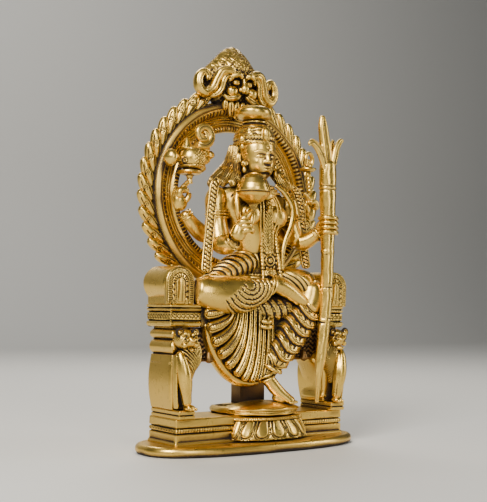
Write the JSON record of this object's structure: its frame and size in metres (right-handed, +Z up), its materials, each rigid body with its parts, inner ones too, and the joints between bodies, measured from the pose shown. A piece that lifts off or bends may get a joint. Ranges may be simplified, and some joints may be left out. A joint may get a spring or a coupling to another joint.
{
  "type": "hindu deity statue",
  "caption": "Seated four-armed goddess on a lion-legged throne with a lift-off flame arch, on an oblong base; cast brass with dark patina in the recesses.",
  "frame": {"origin": "middle of the underside of the base plate", "axes": "+Z up; -Y is the front, where the goddess faces; +X is to the viewer's right, seen from the front"},
  "size_m": [0.172, 0.072, 0.29],
  "materials": {
    "polished_brass": "buffed cast brass, bright on the high places, brown patina in the recesses",
    "base_brass": "satin cast brass with fine scratches",
    "engraved_brass": "engraved brass, near-black patina in the cut lines",
    "drapery_brass": "brass pleats, polished on the folds and dark between them",
    "patinated_brass": "unpolished dark brass",
    "screw_brass": "turned brass"
  },
  "bodies": {
    "throne_and_goddess": {"base_screws": "screw_brass", "base_plate": "base_brass", "plinth": "base_brass", "lotus_apron": "engraved_brass", "footstool": "base_brass", "left_leg_block": "base_brass", "right_leg_block": "base_brass", "left_arm_block": "engraved_brass", "right_arm_block": "engraved_brass", "left_bolster": "polished_brass", "right_bolster": "polished_brass", "seat_slab": "engraved_brass", "left_throne_leg": "base_brass", "right_throne_leg": "base_brass", "left_lion": "engraved_brass", "right_lion": "engraved_brass", "sugarcane_stalk": "polished_brass", "sugarcane_leaves": "polished_brass", "flower_bud": "polished_brass", "water_vessel": "polished_brass", "noose": "polished_brass", "head": "polished_brass", "crown_finial": "polished_brass", "crown": "polished_brass", "left_front_hand": "polished_brass", "right_front_hand": "polished_brass", "left_rear_hand": "polished_brass", "right_rear_hand": "polished_brass", "folded_foot": "polished_brass", "pendent_foot": "polished_brass", "folded_leg": "polished_brass", "pendent_leg": "polished_brass", "left_front_arm": "polished_brass", "right_front_arm": "polished_brass", "torso": "polished_brass", "left_rear_arm": "polished_brass", "right_rear_arm": "polished_brass", "armlets": "polished_brass", "bangles": "polished_brass", "anklets": "polished_brass", "earrings": "polished_brass", "necklace": "polished_brass", "medallion": "polished_brass", "waist_belt": "polished_brass", "left_garland": "drapery_brass", "right_garland": "drapery_brass", "hair": "drapery_brass", "calf_drape": "drapery_brass", "lap_pleats": "drapery_brass", "skirt_fan": "drapery_brass", "seat_apron": "patinated_brass", "skirt_post": "patinated_brass"},
    "arch": {"arch_ring": "engraved_brass", "left_arch_flames": "engraved_brass", "right_arch_flames": "engraved_brass", "kirtimukha": "engraved_brass"}
  },
  "joints": [
    {"name": "arch_lift", "type": "slide", "parent": "throne_and_goddess", "child": "arch", "axis": [0, 0, 1], "range_m": [0, 0.04]}
  ]
}
